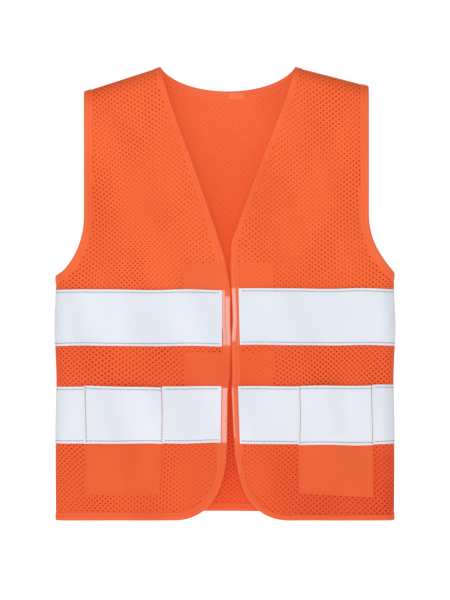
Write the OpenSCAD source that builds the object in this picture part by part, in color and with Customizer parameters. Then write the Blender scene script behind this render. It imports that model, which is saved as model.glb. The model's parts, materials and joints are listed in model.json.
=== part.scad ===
// High visibility vest, child's size, hanging as it does from the wearer's shoulders.
// Front towards -Y, back towards +Y, +Z up. The origin is midway between the two
// neck points, at the height of the shoulder line that carries the vest.
// Pairs of values are [wearer's right, wearer's left]; the wearer's right is at -X.
// Each front is one cloth that folds open along a line from its neck point to its
// hem corner. The cloth inside that line is the flap, the cloth outside it stays
// with the back, so every strip that crosses the line is two nodes.

/* [Body] */
// Width across the chest, lying flat
chest_w = 300; // [280:5:330]
// Length from the neck point to the front hem
length = 402; // [390:1:430]
// Depth from the front cloth to the back cloth
depth = 24; // [20:1:30]
// How far the back hem rises at its middle
hem_rise = 7.8; // [2:0.1:14]

/* [Neck and shoulders] */
// Distance from the middle to each neck point
neck_half = [57, 62]; // [52:1:66]
// Depth of the back neck curve
back_neck_drop = 21; // [17:1:26]
// Depth of each side of the V neck
v_drop = [171, 157]; // [140:1:180]
// How far each shoulder falls from the neck point to the arm
shoulder_drop = [22, 17]; // [12:1:26]

/* [Armholes] */
// Distance from the middle to each armhole edge
armhole_half = [125, 127.5]; // [120:0.5:130]
// Height at which each armhole meets the side, below the neck point
armhole_drop = [184.7, 182]; // [176:0.1:190]

/* [Front edges] */
// Where the two front edges meet, off the middle
meeting_x = 4.8; // [-6:0.1:8]
// Gap between the two front edges
front_gap = 0.8; // [0.4:0.1:3]
// How far each foot of the V stands back from where the edges meet
v_lean = [4.4, 0]; // [0:0.1:6]
// How far each front edge has swung outwards at its rounded corner
flare = [2.8, 4.3]; // [0:0.1:8]
// Height at which each front edge begins to swing outwards
flare_top = [-246, -250]; // [-260:1:-210]
// Width of the rounded lower corner
corner_w = 47; // [30:1:60]
// Height of the rounded lower corner
corner_h = 66; // [45:1:68]

/* [Reflective bands] */
// Width of the reflective tape
band_w = 50; // [48:1:52]
// Top edge of the upper band
upper_band_top = -197; // [-200:1:-194]
// Top edge of the lower band
lower_band_top = -283.5; // [-286:0.5:-280]
// Distance of the stitch lines from the tape's edges
stitch_margin = 2.4; // [2:0.1:4]

/* [Pockets] */
// Distance from the side of the vest to each pocket's outer edge
pocket_inset = [25.5, 18.5]; // [16:0.5:28]
// Width of each pocket
pocket_w = [69.5, 66.5]; // [62:0.5:72]
// Bottom edge of the pockets
pocket_bottom = -379.5; // [-384:0.5:-370]
// How far the pocket mouth stands open
pocket_puff = 5.4; // [5:0.1:6]

/* [Closure patches] */
// Distance from the middle to each patch's outer edge
patch_outer = [36, 43.5]; // [30:0.5:48]
// Height of a closure patch
patch_h = 31; // [26:1:46]
// Top edge of the upper patches
upper_patch_top = -174.5; // [-180:0.5:-172]
// Top edge of the lower patches
lower_patch_top = -253; // [-256:0.5:-249]

/* [Binding] */
// Width of the folded binding on one face
binding_w = 7.2; // [6:0.1:9]

/* [Hidden] */
$fn = 48;

RIGHT = 0;
LEFT = 1;
SIDES = [RIGHT, LEFT];
NAMES = ["right", "left"];
FRONT = -1;
BACK = 1;

cloth_orange = [0.95, 0.40, 0.22];
binding_orange = [0.97, 0.47, 0.28];
plain_orange = [0.91, 0.38, 0.21];
tape_white = [0.87, 0.90, 0.94];
thread_grey = [0.62, 0.64, 0.70];
thread_orange = [0.86, 0.33, 0.20];

// Layers, measured outwards from the outer face of the mesh cloth
mesh_layer = [-0.8, 0];
mesh_slot = [-0.9, 0.1];
binding_layer = [-1.4, 0.6];
patch_layer = [0.65, 1.05];
inner_patch_layer = [-1.7, -1.1];
band_layer = [1.1, 1.5];
thread_layer = [1.6, 1.9];
pocket_layer = [0.1, 0.7];
pocket_thread_layer = [0.8, 1.1];

half_depth = depth / 2;
half_chest = chest_w / 2;
flat_half = half_chest - half_depth;
beyond = 60;            // reach of a cutting shape past the cloth
seam_gap = 0.1;         // half the gap between the front and back cloths at a seam
neck_overlap = 0.05;    // how far the neck binding's two halves run into each other
fold_gap = 0.15;        // half the gap between flap and side at the fold line
binding_inset = 0.7;    // how far the mesh stops short of a bound edge
slot_inset = 0.6;       // how far the slot in a binding stops short of its edge
piece_gap = 0.3;        // gap between neighbouring pieces that lie side by side
patch_inset = [piece_gap, binding_w + piece_gap];
thread_w = 0.6;
pocket_line_inset = 1;  // from the edges of a pocket to its stitch lines
ply = 0.5;              // each of the two plies of a seam allowance, and the neck tab
seam_allowance = 4;
seam_drop = 1;          // from the fold of a seam to the top of its allowance
seam_end_gap = 2;       // between a seam allowance and the bindings at its ends
tab_size = [13.3, 6.2];
tab_x = 3.6;
tab_depth = 2.1;        // from the back cloth's outer face to the front of the tab
v_handle = [[0.35, 0.415], [0.42, 0.45]];  // lower handle of each V edge, in its width and height
neck_handle = 20;       // how far in from the neck points the back neck curve turns level
neck_strip = [20, 70];  // top and height of the zone that holds the shoulder end of the V
armhole_straight = 53;  // height of the armhole's lower curve
armhole_handle = [[28, [-11, 6]], [25.4, [-12, 14.8]]];  // upper and lower handle of that curve
pouch_flange = 4;       // flat sewn edge of a pocket
pouch_ramp = 12;        // width over which the pocket cloth rises from its flange

function sign_of(s) = s == RIGHT ? -1 : 1;
function reversed(list) = [for (i = [len(list) - 1:-1:0]) list[i]];

// Points of a cubic curve with end points a, d and handles b, c
function curve(a, b, c, d, steps = 16) = [
    for (i = [0:steps])
        let (t = i / steps, k = 1 - t)
        k * k * k * a + 3 * k * k * t * b + 3 * k * t * t * c + t * t * t * d
];

// Points of an arc about c, in even steps of 15 degrees
function arc(c, r, from, to) = [
    for (a = [from:15:to]) c + r * [cos(a), sin(a)]
];

// The pattern is drawn in the plane (u, z), where u grows outwards from the middle
function slope(s) = atan(shoulder_drop[s] / (armhole_half[s] - neck_half[s]));
function shoulder_z(s, u) = -tan(slope(s)) * (u - neck_half[s]);
function arch_foot_z(s, u) = shoulder_z(s, u) - half_depth / cos(slope(s));
function edge_u(s) = sign_of(s) * meeting_x + front_gap / 2;
function fold_top(s) = [neck_half[s], arch_foot_z(s, neck_half[s])];
function fold_foot(s) = [flat_half, -length];
function fold_u(s, z) =
    let (a = fold_top(s), b = fold_foot(s))
    a[0] + (b[0] - a[0]) * (z - a[1]) / (b[1] - a[1]);

module on_side(s) {
    mirror([s == RIGHT ? 1 : 0, 0, 0]) children();
}

// Turns a pattern outline into a prism through the whole depth of the vest
module through() {
    rotate([90, 0, 0]) linear_extrude(4 * depth, center = true) children();
}

// ---- pattern outlines ----

module armhole_cut(s) {
    a = armhole_half[s];
    foot = [half_chest, -armhole_drop[s]];
    turn = [a, foot[1] + armhole_straight];
    edge = curve(turn, turn - [0, armhole_handle[s][0]], foot + armhole_handle[s][1], foot);
    on_side(s) polygon(concat(
        [[a, beyond]], edge,
        [foot + [beyond, -beyond], [half_chest + beyond, beyond]]));
}

module neck_cut() {
    r = [-neck_half[RIGHT], 0];
    l = [neck_half[LEFT], 0];
    dip = -back_neck_drop / 0.75;
    polygon(concat(
        curve(r, [r[0] + neck_handle, dip], [l[0] - neck_handle, dip], l, 24),
        [l + [0, beyond], r + [0, beyond]]));
}

// Everything that the edge of a front stops at: V neck, front edge, corner and hem
module front_cut(s) {
    neck = [neck_half[s], 0];
    v_foot = [edge_u(s) + v_lean[s], -v_drop[s]];
    v_size = neck - v_foot;
    corner_u = edge_u(s) + flare[s];
    v_edge = curve(neck, neck - [0.07 * neck[0], 0.16 * v_drop[s]],
                   v_foot + [v_handle[s][0] * v_size[0], v_handle[s][1] * v_size[1]], v_foot);
    corner = curve([corner_u, corner_h - length], [corner_u, 0.36 * corner_h - length],
                   [corner_u + 0.37 * corner_w, -length], [corner_u + corner_w, -length]);
    on_side(s) polygon(concat(
        [[neck[0], beyond]], v_edge,
        [[edge_u(s), upper_band_top], [edge_u(s), flare_top[s]]], corner,
        [[half_chest + beyond, -length], [half_chest + beyond, -length - beyond],
         [-half_chest - beyond, -length - beyond], [-half_chest - beyond, beyond]]));
}

module back_hem_cut() {
    corner = [half_chest, -length];
    mid = [0, hem_rise * 4 / 3];
    polygon(concat(
        curve([-corner[0], corner[1]], [-corner[0] / 3, corner[1]] + mid,
              [corner[0] / 3, corner[1]] + mid, corner, 24),
        [corner + [beyond, -beyond], [-corner[0] - beyond, corner[1] - beyond]]));
}

// One closed outline from points given outwards-up for each side
function both_sides(right, left) =
    concat([for (p = right) [-p[0], p[1]]], reversed(left));

// The cloth before its neck, armholes and hem are cut
module blank() {
    reach = half_chest + 10;
    low = -length - 10;
    side = [for (s = SIDES) [[reach, low], [reach, shoulder_z(s, reach)], [0, shoulder_z(s, 0)]]];
    polygon(both_sides(side[RIGHT], side[LEFT]));
}

module front_outline(s, inset = 0) {
    difference() {
        blank();
        offset(delta = inset) armhole_cut(s);
        offset(delta = inset) front_cut(s);
    }
}

module back_outline(inset = 0) {
    difference() {
        blank();
        for (s = SIDES) offset(delta = inset) armhole_cut(s);
        offset(delta = inset) neck_cut();
        offset(delta = inset) back_hem_cut();
    }
}

// The side of the fold line that swings with the flap
module flap_zone(s, gap = fold_gap) {
    a = fold_top(s) - [gap, gap];
    b = fold_foot(s) - [gap, 0];
    past = b + (b - a) * 0.1;
    on_side(s) polygon([a, past, [-beyond, past[1]], [-beyond, a[1]]]);
}

module still_zone(s) {
    difference() {
        on_side(s) translate([0, -length - beyond]) square([half_chest + beyond, length + 2 * beyond]);
        flap_zone(s, -fold_gap);
    }
}

module strip(top, height) {
    translate([-half_chest - beyond, top - height]) square([2 * (half_chest + beyond), height]);
}

// ---- the hollow form that every cloth layer follows ----

module form_section(r) {
    polygon(concat(arc([flat_half, 0], r, -90, 90), arc([-flat_half, 0], r, 90, 270)));
}

// Section across a shoulder: a round top whose feet run on a little past the side of the tube
module arch_section(r) {
    foot = 2 * [r, 0] - r * [cos(15), sin(15)];
    polygon(concat([foot], arc([0, 0], r, 15, 165), [[-foot[0], foot[1]]],
                   [[-foot[0], -2 * length], [foot[0], -2 * length]]));
}

// Everything below one shoulder's sloping arch
module below_shoulder(s, r) {
    translate([sign_of(s) * neck_half[s], 0, 0]) rotate([0, sign_of(s) * slope(s), 0])
        translate([-2 * length, 0, -half_depth])
        rotate([90, 0, 90]) linear_extrude(4 * length) arch_section(r);
}

// The filled form: a flat tube closed at the top by the two shoulder arches
module filled_form(r, below) {
    intersection() {
        translate([0, 0, -length - below]) linear_extrude(length + below + beyond) form_section(r);
        below_shoulder(RIGHT, r);
        below_shoulder(LEFT, r);
    }
}

// One layer of the form
module form(layer) {
    difference() {
        filled_form(half_depth + layer[1], 1);
        filled_form(half_depth + layer[0], 2);
    }
}

// Everything in front of the middle or behind it, beginning a little off it
module half(facing, start) {
    size = [2 * chest_w, 2 * depth, 2 * length];
    translate([-chest_w, facing == BACK ? start : -start - size[1], beyond - size[2]]) cube(size);
}

// The front or back half of a layer, within a pattern outline
module cloth(facing, layer, start = seam_gap) {
    intersection() {
        form(layer);
        through() children();
        half(facing, start);
    }
}

module bound_edge(facing, start = seam_gap) {
    difference() {
        cloth(facing, binding_layer, start) children(0);
        cloth(facing, mesh_slot, start - 1) children(1);
    }
}

// ---- mesh panels ----

module back_panel() {
    color(cloth_orange) cloth(BACK, mesh_layer) back_outline(binding_inset);
}

module side_panel(s) {
    color(cloth_orange) cloth(FRONT, mesh_layer) intersection() {
        front_outline(s, binding_inset);
        still_zone(s);
    }
}

module front_panel(s) {
    color(cloth_orange) cloth(FRONT, mesh_layer) intersection() {
        front_outline(s, binding_inset);
        flap_zone(s);
    }
}

// ---- reflective bands ----

module back_band(top) {
    color(tape_white) cloth(BACK, band_layer) strip(top, band_w);
}

module side_band(s, top, inner = 0) {
    color(tape_white) cloth(FRONT, band_layer) intersection() {
        strip(top, band_w);
        still_zone(s);
        on_side(s) translate([inner, -length]) square([half_chest + beyond, length]);
    }
}

// A flap's band runs from the front binding out to a distance from the middle
module flap_band(s, top, outer) {
    color(tape_white) cloth(FRONT, band_layer) flap_band_outline(s, top, band_w, outer);
}

module flap_band_outline(s, top, height, outer, inset = binding_w + piece_gap) {
    intersection() {
        strip(top, height);
        flap_zone(s);
        front_outline(s, inset);
        on_side(s) translate([-half_chest, -length]) square([half_chest + outer, length]);
    }
}

// ---- pockets ----

function pocket_outer(s) = half_chest - pocket_inset[s];
function pocket_inner(s) = pocket_outer(s) - pocket_w[s];
function pouch_outer(s) = fold_u(s, lower_band_top) - pouch_flange;

// Section through a pocket: flat sewn edges with the cloth standing off between
function pouch_line(s, out) =
    let (y = -half_depth - out, a = pocket_inner(s) + pouch_flange, b = pouch_outer(s))
    [[pocket_inner(s), y], [a, y], [a + pouch_ramp, y - pocket_puff],
     [b - pouch_ramp, y - pocket_puff], [b, y], [pocket_outer(s), y]];

module pouch(s, layer, bottom, height) {
    on_side(s) translate([0, 0, bottom]) linear_extrude(height)
        polygon(concat(pouch_line(s, layer[0]), reversed(pouch_line(s, layer[1]))));
}

module pocket_cloth(s) {
    y = -half_depth - pocket_layer[0];
    pouch(s, pocket_layer, pocket_bottom, lower_band_top - pocket_bottom);
    on_side(s) translate([0, 0, pocket_bottom]) linear_extrude(pocket_layer[1])
        polygon(concat(pouch_line(s, pocket_layer[1]),
                       [[pocket_outer(s), y], [pocket_inner(s), y]]));
}

module pocket(s) {
    color(plain_orange) intersection() {
        pocket_cloth(s);
        through() flap_zone(s);
    }
}

module pocket_side(s) {
    color(plain_orange) intersection() {
        pocket_cloth(s);
        through() still_zone(s);
    }
}

module pocket_band(s) {
    color(tape_white) intersection() {
        pouch(s, band_layer, lower_band_top - band_w, band_w);
        through() flap_zone(s);
    }
}

module pocket_side_band(s) {
    color(tape_white) intersection() {
        pouch(s, band_layer, lower_band_top - band_w, band_w);
        through() still_zone(s);
    }
}

// ---- closure patches ----

module patch(s, top) {
    layer = s == RIGHT ? patch_layer : inner_patch_layer;
    color(binding_orange) cloth(FRONT, layer)
        flap_band_outline(s, top, patch_h, patch_outer[s], patch_inset[s]);
}

// ---- bindings ----

module front_binding(s) {
    color(binding_orange) bound_edge(FRONT) {
        intersection() {
            difference() {
                blank();
                front_cut(s);
            }
            offset(r = binding_w) front_cut(s);
            flap_zone(s);
        }
        front_outline(s, slot_inset);
    }
}

module side_hem_binding(s) {
    color(binding_orange) bound_edge(FRONT) {
        intersection() {
            strip(binding_w - length, binding_w);
            still_zone(s);
        }
        front_outline(s, slot_inset);
    }
}

module back_hem_binding() {
    color(binding_orange) bound_edge(BACK) {
        intersection() {
            back_outline();
            offset(r = binding_w) back_hem_cut();
        }
        back_outline(slot_inset);
    }
}

module back_neck_binding() {
    color(binding_orange) {
        bound_edge(BACK, -neck_overlap) {
            intersection() {
                difference() {
                    blank();
                    neck_cut();
                }
                offset(r = binding_w) neck_cut();
            }
            back_outline(slot_inset);
        }
        for (s = SIDES) bound_edge(FRONT, -neck_overlap) {
            intersection() {
                difference() {
                    blank();
                    front_cut(s);
                }
                offset(r = binding_w) front_cut(s);
                still_zone(s);
                strip(neck_strip[0], neck_strip[1]);
            }
            front_outline(s, slot_inset);
        }
    }
}

module armhole_binding(s) {
    color(binding_orange) difference() {
        intersection() {
            form(binding_layer);
            through() intersection() {
                difference() {
                    blank();
                    armhole_cut(s);
                }
                offset(r = binding_w) armhole_cut(s);
            }
        }
        intersection() {
            form(mesh_slot);
            through() difference() {
                blank();
                offset(delta = slot_inset) armhole_cut(s);
            }
        }
    }
}

// ---- tab and seams ----

module neck_tab() {
    color(binding_orange)
        translate([tab_x, half_depth - tab_depth, -back_neck_drop - 1 - tab_size[1]])
        cube([tab_size[0], ply, tab_size[1]]);
}

module shoulder_seam(s) {
    run = (armhole_half[s] - neck_half[s]) / cos(slope(s));
    color(thread_orange) on_side(s)
        translate([neck_half[s], 0, 0]) rotate([0, slope(s), 0])
        translate([binding_w + seam_end_gap, -ply, -seam_drop - seam_allowance])
        cube([run - 2 * (binding_w + seam_end_gap), 2 * ply, seam_allowance]);
}

module side_seam(s) {
    color(thread_orange) on_side(s)
        translate([half_chest - seam_drop - seam_allowance, -ply, binding_w + seam_end_gap - length])
        cube([seam_allowance, 2 * ply,
              length - armhole_drop[s] - 2 * (binding_w + seam_end_gap)]);
}

// ---- stitching ----

module stitch_lines(top, height = band_w) {
    for (z = [top - stitch_margin, top - height + stitch_margin + thread_w])
        strip(z, thread_w);
}

module back_band_stitching() {
    color(thread_grey) for (top = [upper_band_top, lower_band_top])
        cloth(BACK, thread_layer) stitch_lines(top);
}

module side_stitching(s) {
    color(thread_grey) cloth(FRONT, thread_layer) {
        intersection() {
            stitch_lines(upper_band_top);
            still_zone(s);
        }
        intersection() {
            stitch_lines(lower_band_top);
            still_zone(s);
            on_side(s) translate([pocket_outer(s), -length]) square([half_chest, length]);
        }
    }
}

module band_stitching(s) {
    color(thread_grey) {
        cloth(FRONT, thread_layer) intersection() {
            stitch_lines(upper_band_top);
            flap_band_outline(s, upper_band_top, band_w, half_chest);
        }
        cloth(FRONT, thread_layer) intersection() {
            stitch_lines(lower_band_top);
            flap_band_outline(s, lower_band_top, band_w, pocket_inner(s) - piece_gap);
        }
        intersection() {
            pouch(s, thread_layer, lower_band_top - band_w, band_w);
            through() intersection() {
                stitch_lines(lower_band_top);
                flap_zone(s);
                on_side(s) translate([0, -length])
                    square([pocket_outer(s) - 2 * thread_w, length]);
            }
        }
    }
}

// Two lines up the sewn edges of the pocket and one along its bottom
module pocket_stitching(s) {
    height = lower_band_top - pocket_bottom;
    line_x = [pocket_inner(s) + pocket_line_inset,
              pocket_outer(s) - pocket_line_inset - thread_w];
    color(thread_orange) {
        cloth(FRONT, thread_layer) intersection() {
            on_side(s) for (x = line_x) translate([x, pocket_bottom]) square([thread_w, height]);
            flap_zone(s);
            difference() {
                square(2 * length, center = true);
                stitch_lines(lower_band_top);
            }
        }
        intersection() {
            pouch(s, pocket_thread_layer, pocket_bottom + pocket_line_inset, thread_w);
            through() flap_zone(s);
        }
    }
}

// ---- the nodes ----

back_panel();
back_band(upper_band_top);  // back_upper_band
back_band(lower_band_top);  // back_lower_band
back_neck_binding();
back_hem_binding();
back_band_stitching();
neck_tab();

for (s = SIDES) {
    side_panel(s);
    front_panel(s);
    side_band(s, upper_band_top);
    flap_band(s, upper_band_top, half_chest);
    side_band(s, lower_band_top, pocket_outer(s) + piece_gap);
    flap_band(s, lower_band_top, pocket_inner(s) - piece_gap);
    pocket(s);
    pocket_side(s);
    pocket_band(s);
    pocket_side_band(s);
    patch(s, upper_patch_top);
    patch(s, lower_patch_top);
    front_binding(s);
    armhole_binding(s);
    side_hem_binding(s);
    shoulder_seam(s);
    side_seam(s);
    side_stitching(s);
    band_stitching(s);
    pocket_stitching(s);
}
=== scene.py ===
import json
import math
import random

import bpy
import numpy as np
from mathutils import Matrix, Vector
from mathutils.geometry import delaunay_2d_cdt


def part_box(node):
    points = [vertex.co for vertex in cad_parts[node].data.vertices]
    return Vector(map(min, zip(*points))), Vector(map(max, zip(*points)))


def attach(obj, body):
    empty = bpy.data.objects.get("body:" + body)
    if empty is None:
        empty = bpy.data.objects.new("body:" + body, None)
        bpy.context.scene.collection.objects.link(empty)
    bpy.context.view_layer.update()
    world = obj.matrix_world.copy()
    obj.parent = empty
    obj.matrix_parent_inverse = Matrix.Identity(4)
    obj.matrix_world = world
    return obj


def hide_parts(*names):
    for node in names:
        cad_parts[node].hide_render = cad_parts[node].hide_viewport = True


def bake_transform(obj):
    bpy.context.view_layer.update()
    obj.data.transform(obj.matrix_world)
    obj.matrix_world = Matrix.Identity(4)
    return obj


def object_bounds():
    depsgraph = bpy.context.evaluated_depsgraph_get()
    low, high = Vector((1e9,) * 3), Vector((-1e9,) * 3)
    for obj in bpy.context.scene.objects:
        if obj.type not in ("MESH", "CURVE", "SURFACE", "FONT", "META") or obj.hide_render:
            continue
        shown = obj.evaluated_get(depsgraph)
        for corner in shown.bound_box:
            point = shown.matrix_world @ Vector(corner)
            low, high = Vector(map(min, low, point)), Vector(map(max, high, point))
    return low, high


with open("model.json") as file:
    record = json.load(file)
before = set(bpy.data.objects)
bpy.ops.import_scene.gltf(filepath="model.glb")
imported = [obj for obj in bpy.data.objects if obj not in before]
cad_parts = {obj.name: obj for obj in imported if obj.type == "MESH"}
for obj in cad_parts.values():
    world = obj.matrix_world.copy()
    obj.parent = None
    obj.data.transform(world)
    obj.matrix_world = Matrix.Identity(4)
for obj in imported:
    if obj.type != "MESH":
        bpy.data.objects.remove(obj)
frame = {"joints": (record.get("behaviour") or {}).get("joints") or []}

cad_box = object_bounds()

# Lengths on the vest's pattern are in millimetres, and MM turns them into metres.
MM = 0.001
FRONT = -1.0
BACK = 1.0


def box_mm(node):
    low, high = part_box(node)
    return np.array(low) / MM, np.array(high) / MM


# ---------------------------------------------------------------- camera

PHOTO_SCALE = 0.8858 * MM
PHOTO_HEIGHT = 600
CAMERA_DISTANCE = 6.0
FRONT_FACE = 0.012
PHOTO_CENTRE_Z = -206.5 * MM
SENSOR = 36.0

camera_data = bpy.data.cameras.new("camera")
camera = bpy.data.objects.new("camera", camera_data)
bpy.context.scene.collection.objects.link(camera)
bpy.context.scene.camera = camera
camera.location = (0, -CAMERA_DISTANCE, PHOTO_CENTRE_Z)
camera.rotation_euler = (math.radians(90), 0, 0)
camera_data.sensor_width = SENSOR
camera_data.lens = SENSOR * (CAMERA_DISTANCE - FRONT_FACE) / (PHOTO_HEIGHT * PHOTO_SCALE)
camera_data.clip_end = 50

# ---------------------------------------------------------------- sizes

RADIUS = box_mm("back_panel")[1][1]
HALF_CHEST = box_mm("back_panel")[1][0]
FLAT_HALF = HALF_CHEST - RADIUS
SEAM_S = FLAT_HALF + RADIUS * math.pi / 2
LENGTH = -box_mm("left_side_hem_binding")[0][2]
BAND_TOPS = {
    "upper": box_mm("back_upper_band")[1][2],
    "lower": box_mm("back_lower_band")[1][2],
}
BAND_W = BAND_TOPS["upper"] - box_mm("back_upper_band")[0][2]
STITCH_MARGIN = 2.4
BINDING_W = 7.2
MEETING_X = 4.8
FRONT_GAP = 0.8
BACK_NECK_DROP = 21.0
NECK_HANDLE = 20.0
ARMHOLE_STRAIGHT = 53.0
CORNER_W = 47.0
CORNER_H = 66.0
HEM_RISE = 7.8
JOINTS = {j["name"]: j for j in frame["joints"]}


class Side:
    """One side of the vest: its shoulder, armhole, front edge and fold line.

    drop is how far the shoulder falls to the arm, and arm and arm_drop place the armhole's ends.
    front holds the flare's top, the depth and lean of the V, and the V's handle.
    """

    def __init__(self, name, sign, drop, arm, arm_drop, arm_handle, flare, front):
        self.name = name
        self.sign = sign
        self.arm = arm
        self.arm_drop = arm_drop
        self.flare = flare
        self.arm_handle = arm_handle
        self.flare_top, self.v_drop, self.v_lean, self.handle = front
        self.neck = abs(JOINTS[f"{name}_front_fold"]["pos_m"][0]) / MM
        self.slope = math.atan(drop / (arm - self.neck))
        self.edge = sign * MEETING_X + FRONT_GAP / 2
        self.flap = f"{name}_front"

    def foot(self, u):
        """Height where the cloth starts to turn over the shoulder."""
        return -math.tan(self.slope) * (u - self.neck) - RADIUS / math.cos(self.slope)

    def fold_u(self, z):
        """Distance of the fold line from the middle."""
        top = self.foot(self.neck)
        return self.neck + (FLAT_HALF - self.neck) * (z - top) / (-LENGTH - top)


RIGHT = Side(
    "right", -1.0, 22.0, 125.0, 184.7, (28.0, -11.0, 6.0), 2.8, (-246.0, 171.0, 4.4, (0.35, 0.415))
)
LEFT = Side(
    "left", 1.0, 17.0, 127.5, 182.0, (25.4, -12.0, 14.8), 4.3, (-250.0, 157.0, 0.0, (0.42, 0.45))
)
SIDES = (RIGHT, LEFT)

# ---------------------------------------------------------------- the form that the cloth follows


def smooth(x, low, high):
    t = np.clip((x - low) / (high - low), 0, 1)
    return t * t * (3 - 2 * t)


class Waves:
    """Smooth bumps that are the same each run: a sum of slanted waves with seeded directions."""

    def __init__(self, seed, across, along, count=7):
        rng = random.Random(seed)
        self.parts = []
        for _ in range(count):
            kx = 2 * math.pi / (across * rng.uniform(0.7, 1.5)) * rng.choice((-1, 1))
            kz = 2 * math.pi / (along * rng.uniform(0.7, 1.5))
            self.parts.append((kx, kz, rng.uniform(0, 2 * math.pi)))
        self.scale = 1 / math.sqrt(count / 2)

    def __call__(self, x, z):
        total = 0
        for kx, kz, phase in self.parts:
            total = total + np.sin(kx * x + kz * z + phase)
        return total * self.scale


FRONT_WAVES = Waves(11, 75, 150)
FRONT_RIPPLES = Waves(23, 34, 90)
BACK_WAVES = Waves(37, 85, 170)
BACK_RIPPLES = Waves(41, 38, 100)
SIDE_WAVES = Waves(53, 4000, 90)
FRONT_RELIEF = 1.3
BACK_RELIEF = 1.6
RIPPLE_SHARE = 0.3
SIDE_RELIEF = 0.5
BACK_BULGE = 3.5
CREASE_Z = -310.6
CREASE_DEPTH = 0.7


def crease(s, z):
    """The pinch in the wearer's right front edge, half way down the lower tape."""
    across = np.exp(-(((z - CREASE_Z) / 1.3) ** 2)) - 0.5 * np.exp(-(((z - CREASE_Z + 4.5) / 2.0) ** 2))
    return -CREASE_DEPTH * across * np.exp(-(((s - 2) / 7) ** 2)) * (s < 8)


def relief(s, z, face):
    """How far the hanging cloth stands off its form."""
    front = FRONT_RELIEF * (FRONT_WAVES(s, z) + RIPPLE_SHARE * FRONT_RIPPLES(s, z))
    back = BACK_RELIEF * (BACK_WAVES(s, z) + RIPPLE_SHARE * BACK_RIPPLES(s, z))
    back = back + BACK_BULGE * smooth(-z, 20, 160) * (1 - smooth(np.abs(s), 20, 125))
    u = np.abs(s)
    fold = np.where(s < 0, RIGHT.fold_u(z), LEFT.fold_u(z))
    near_fold = np.exp(-(((u - fold) / 12) ** 2))
    front = front * (1 - 0.8 * near_fold) + crease(s, z)
    side = 1 - smooth(u, 118, SEAM_S)
    top = smooth(-z, 8, 60)
    side_wave = SIDE_RELIEF * SIDE_WAVES(0 * s, z) * (1 - side) * smooth(-z, 180, 220)
    return np.where(face < 0, front, back) * side * top + side_wave


def surface(s, t, lift, face):
    """Points on the vest. s runs round the body from the middle, t up the cloth, lift off it."""
    s, t, lift, face = np.broadcast_arrays(
        np.asarray(s, float), np.asarray(t, float), np.asarray(lift, float), np.asarray(face, float)
    )
    u = np.abs(s)
    sign = np.where(s < 0, -1.0, 1.0)
    slope = np.where(s < 0, RIGHT.slope, LEFT.slope)
    foot = np.where(s < 0, RIGHT.foot(u), LEFT.foot(u))
    over = np.clip((t - foot) * np.cos(slope), 0, RADIUS * math.pi / 2)
    a = over / RADIUS
    b = np.clip((u - FLAT_HALF) / RADIUS, 0, math.pi / 2)
    rise = RADIUS * np.sin(a) - over
    x = sign * (np.minimum(u, FLAT_HALF) + RADIUS * np.sin(b) + np.sin(slope) * rise)
    y = face * RADIUS * np.cos(a) * np.cos(b)
    z = t + np.cos(slope) * rise
    off = lift + relief(s, t, face)
    x = x + off * sign * (np.sin(slope) * np.sin(a) + np.cos(a) * np.sin(b))
    y = y + off * face * np.cos(a) * np.cos(b)
    z = z + off * np.cos(slope) * np.sin(a)
    return np.stack([x, y, z], axis=-1)


def unroll(points):
    """Pattern coordinates of outline points given as they look from the front."""
    made = []
    for x, z in points:
        side = RIGHT if x < 0 else LEFT
        u = abs(x)
        if u > FLAT_HALF:
            u = FLAT_HALF + RADIUS * math.asin(min(1, (u - FLAT_HALF) / RADIUS))
        over = (z - side.foot(abs(x))) * math.cos(side.slope)
        s, t = math.copysign(u, x), z
        if over > 0 and abs(x) < FLAT_HALF:
            extra = RADIUS * math.asin(min(1, over / RADIUS)) - over
            s += side.sign * math.sin(side.slope) * extra
            t += math.cos(side.slope) * extra
        made.append((s, t))
    return np.array(made)


# ---------------------------------------------------------------- outlines


def curve(a, b, c, d, steps=24):
    """Points of a cubic curve with end points a, d and handles b, c."""
    t = np.linspace(0, 1, steps + 1)[:, None]
    k = 1 - t
    a, b, c, d = (np.array(p, float) for p in (a, b, c, d))
    return k**3 * a + 3 * k * k * t * b + 3 * k * t * t * c + t**3 * d


def resample(points, step):
    """Evenly spaced points along a polyline."""
    points = np.asarray(points, float)
    run = np.r_[0, np.cumsum(np.linalg.norm(np.diff(points, axis=0), axis=1))]
    keep = np.r_[True, np.diff(run) > 1e-9]
    run, points = run[keep], points[keep]
    count = max(2, int(round(run[-1] / step)) + 1)
    at = np.linspace(0, run[-1], count)
    return np.stack([np.interp(at, run, points[:, k]) for k in (0, 1)], axis=1)


def mirrored(points, side):
    return np.asarray(points, float) * np.array([side.sign, 1.0])


def armhole_edge(side):
    """From the shoulder seam down to the side seam."""
    foot = (HALF_CHEST, -side.arm_drop)
    turn = (side.arm, foot[1] + ARMHOLE_STRAIGHT)
    top = (side.arm, -math.tan(side.slope) * (side.arm - side.neck))
    near_seam = np.geomspace(0.02, 12, 14)
    straight = [top] + [(side.arm, top[1] - d) for d in near_seam]
    upper, across, up = side.arm_handle
    bend = curve(turn, (turn[0], turn[1] - upper), (foot[0] + across, foot[1] + up), foot, 60)
    return mirrored(np.vstack([straight, bend]), side)


def v_edge(side):
    """From the shoulder seam at the neck down to where the front edges meet."""
    foot = (side.edge + side.v_lean, -side.v_drop)
    neck = (side.neck, 0)
    near_neck = (neck[0] * 0.93, -0.16 * side.v_drop)
    near_foot = (
        foot[0] + side.handle[0] * (neck[0] - foot[0]),
        foot[1] + side.handle[1] * side.v_drop,
    )
    return mirrored(curve(neck, near_neck, near_foot, foot, 80), side)


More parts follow.
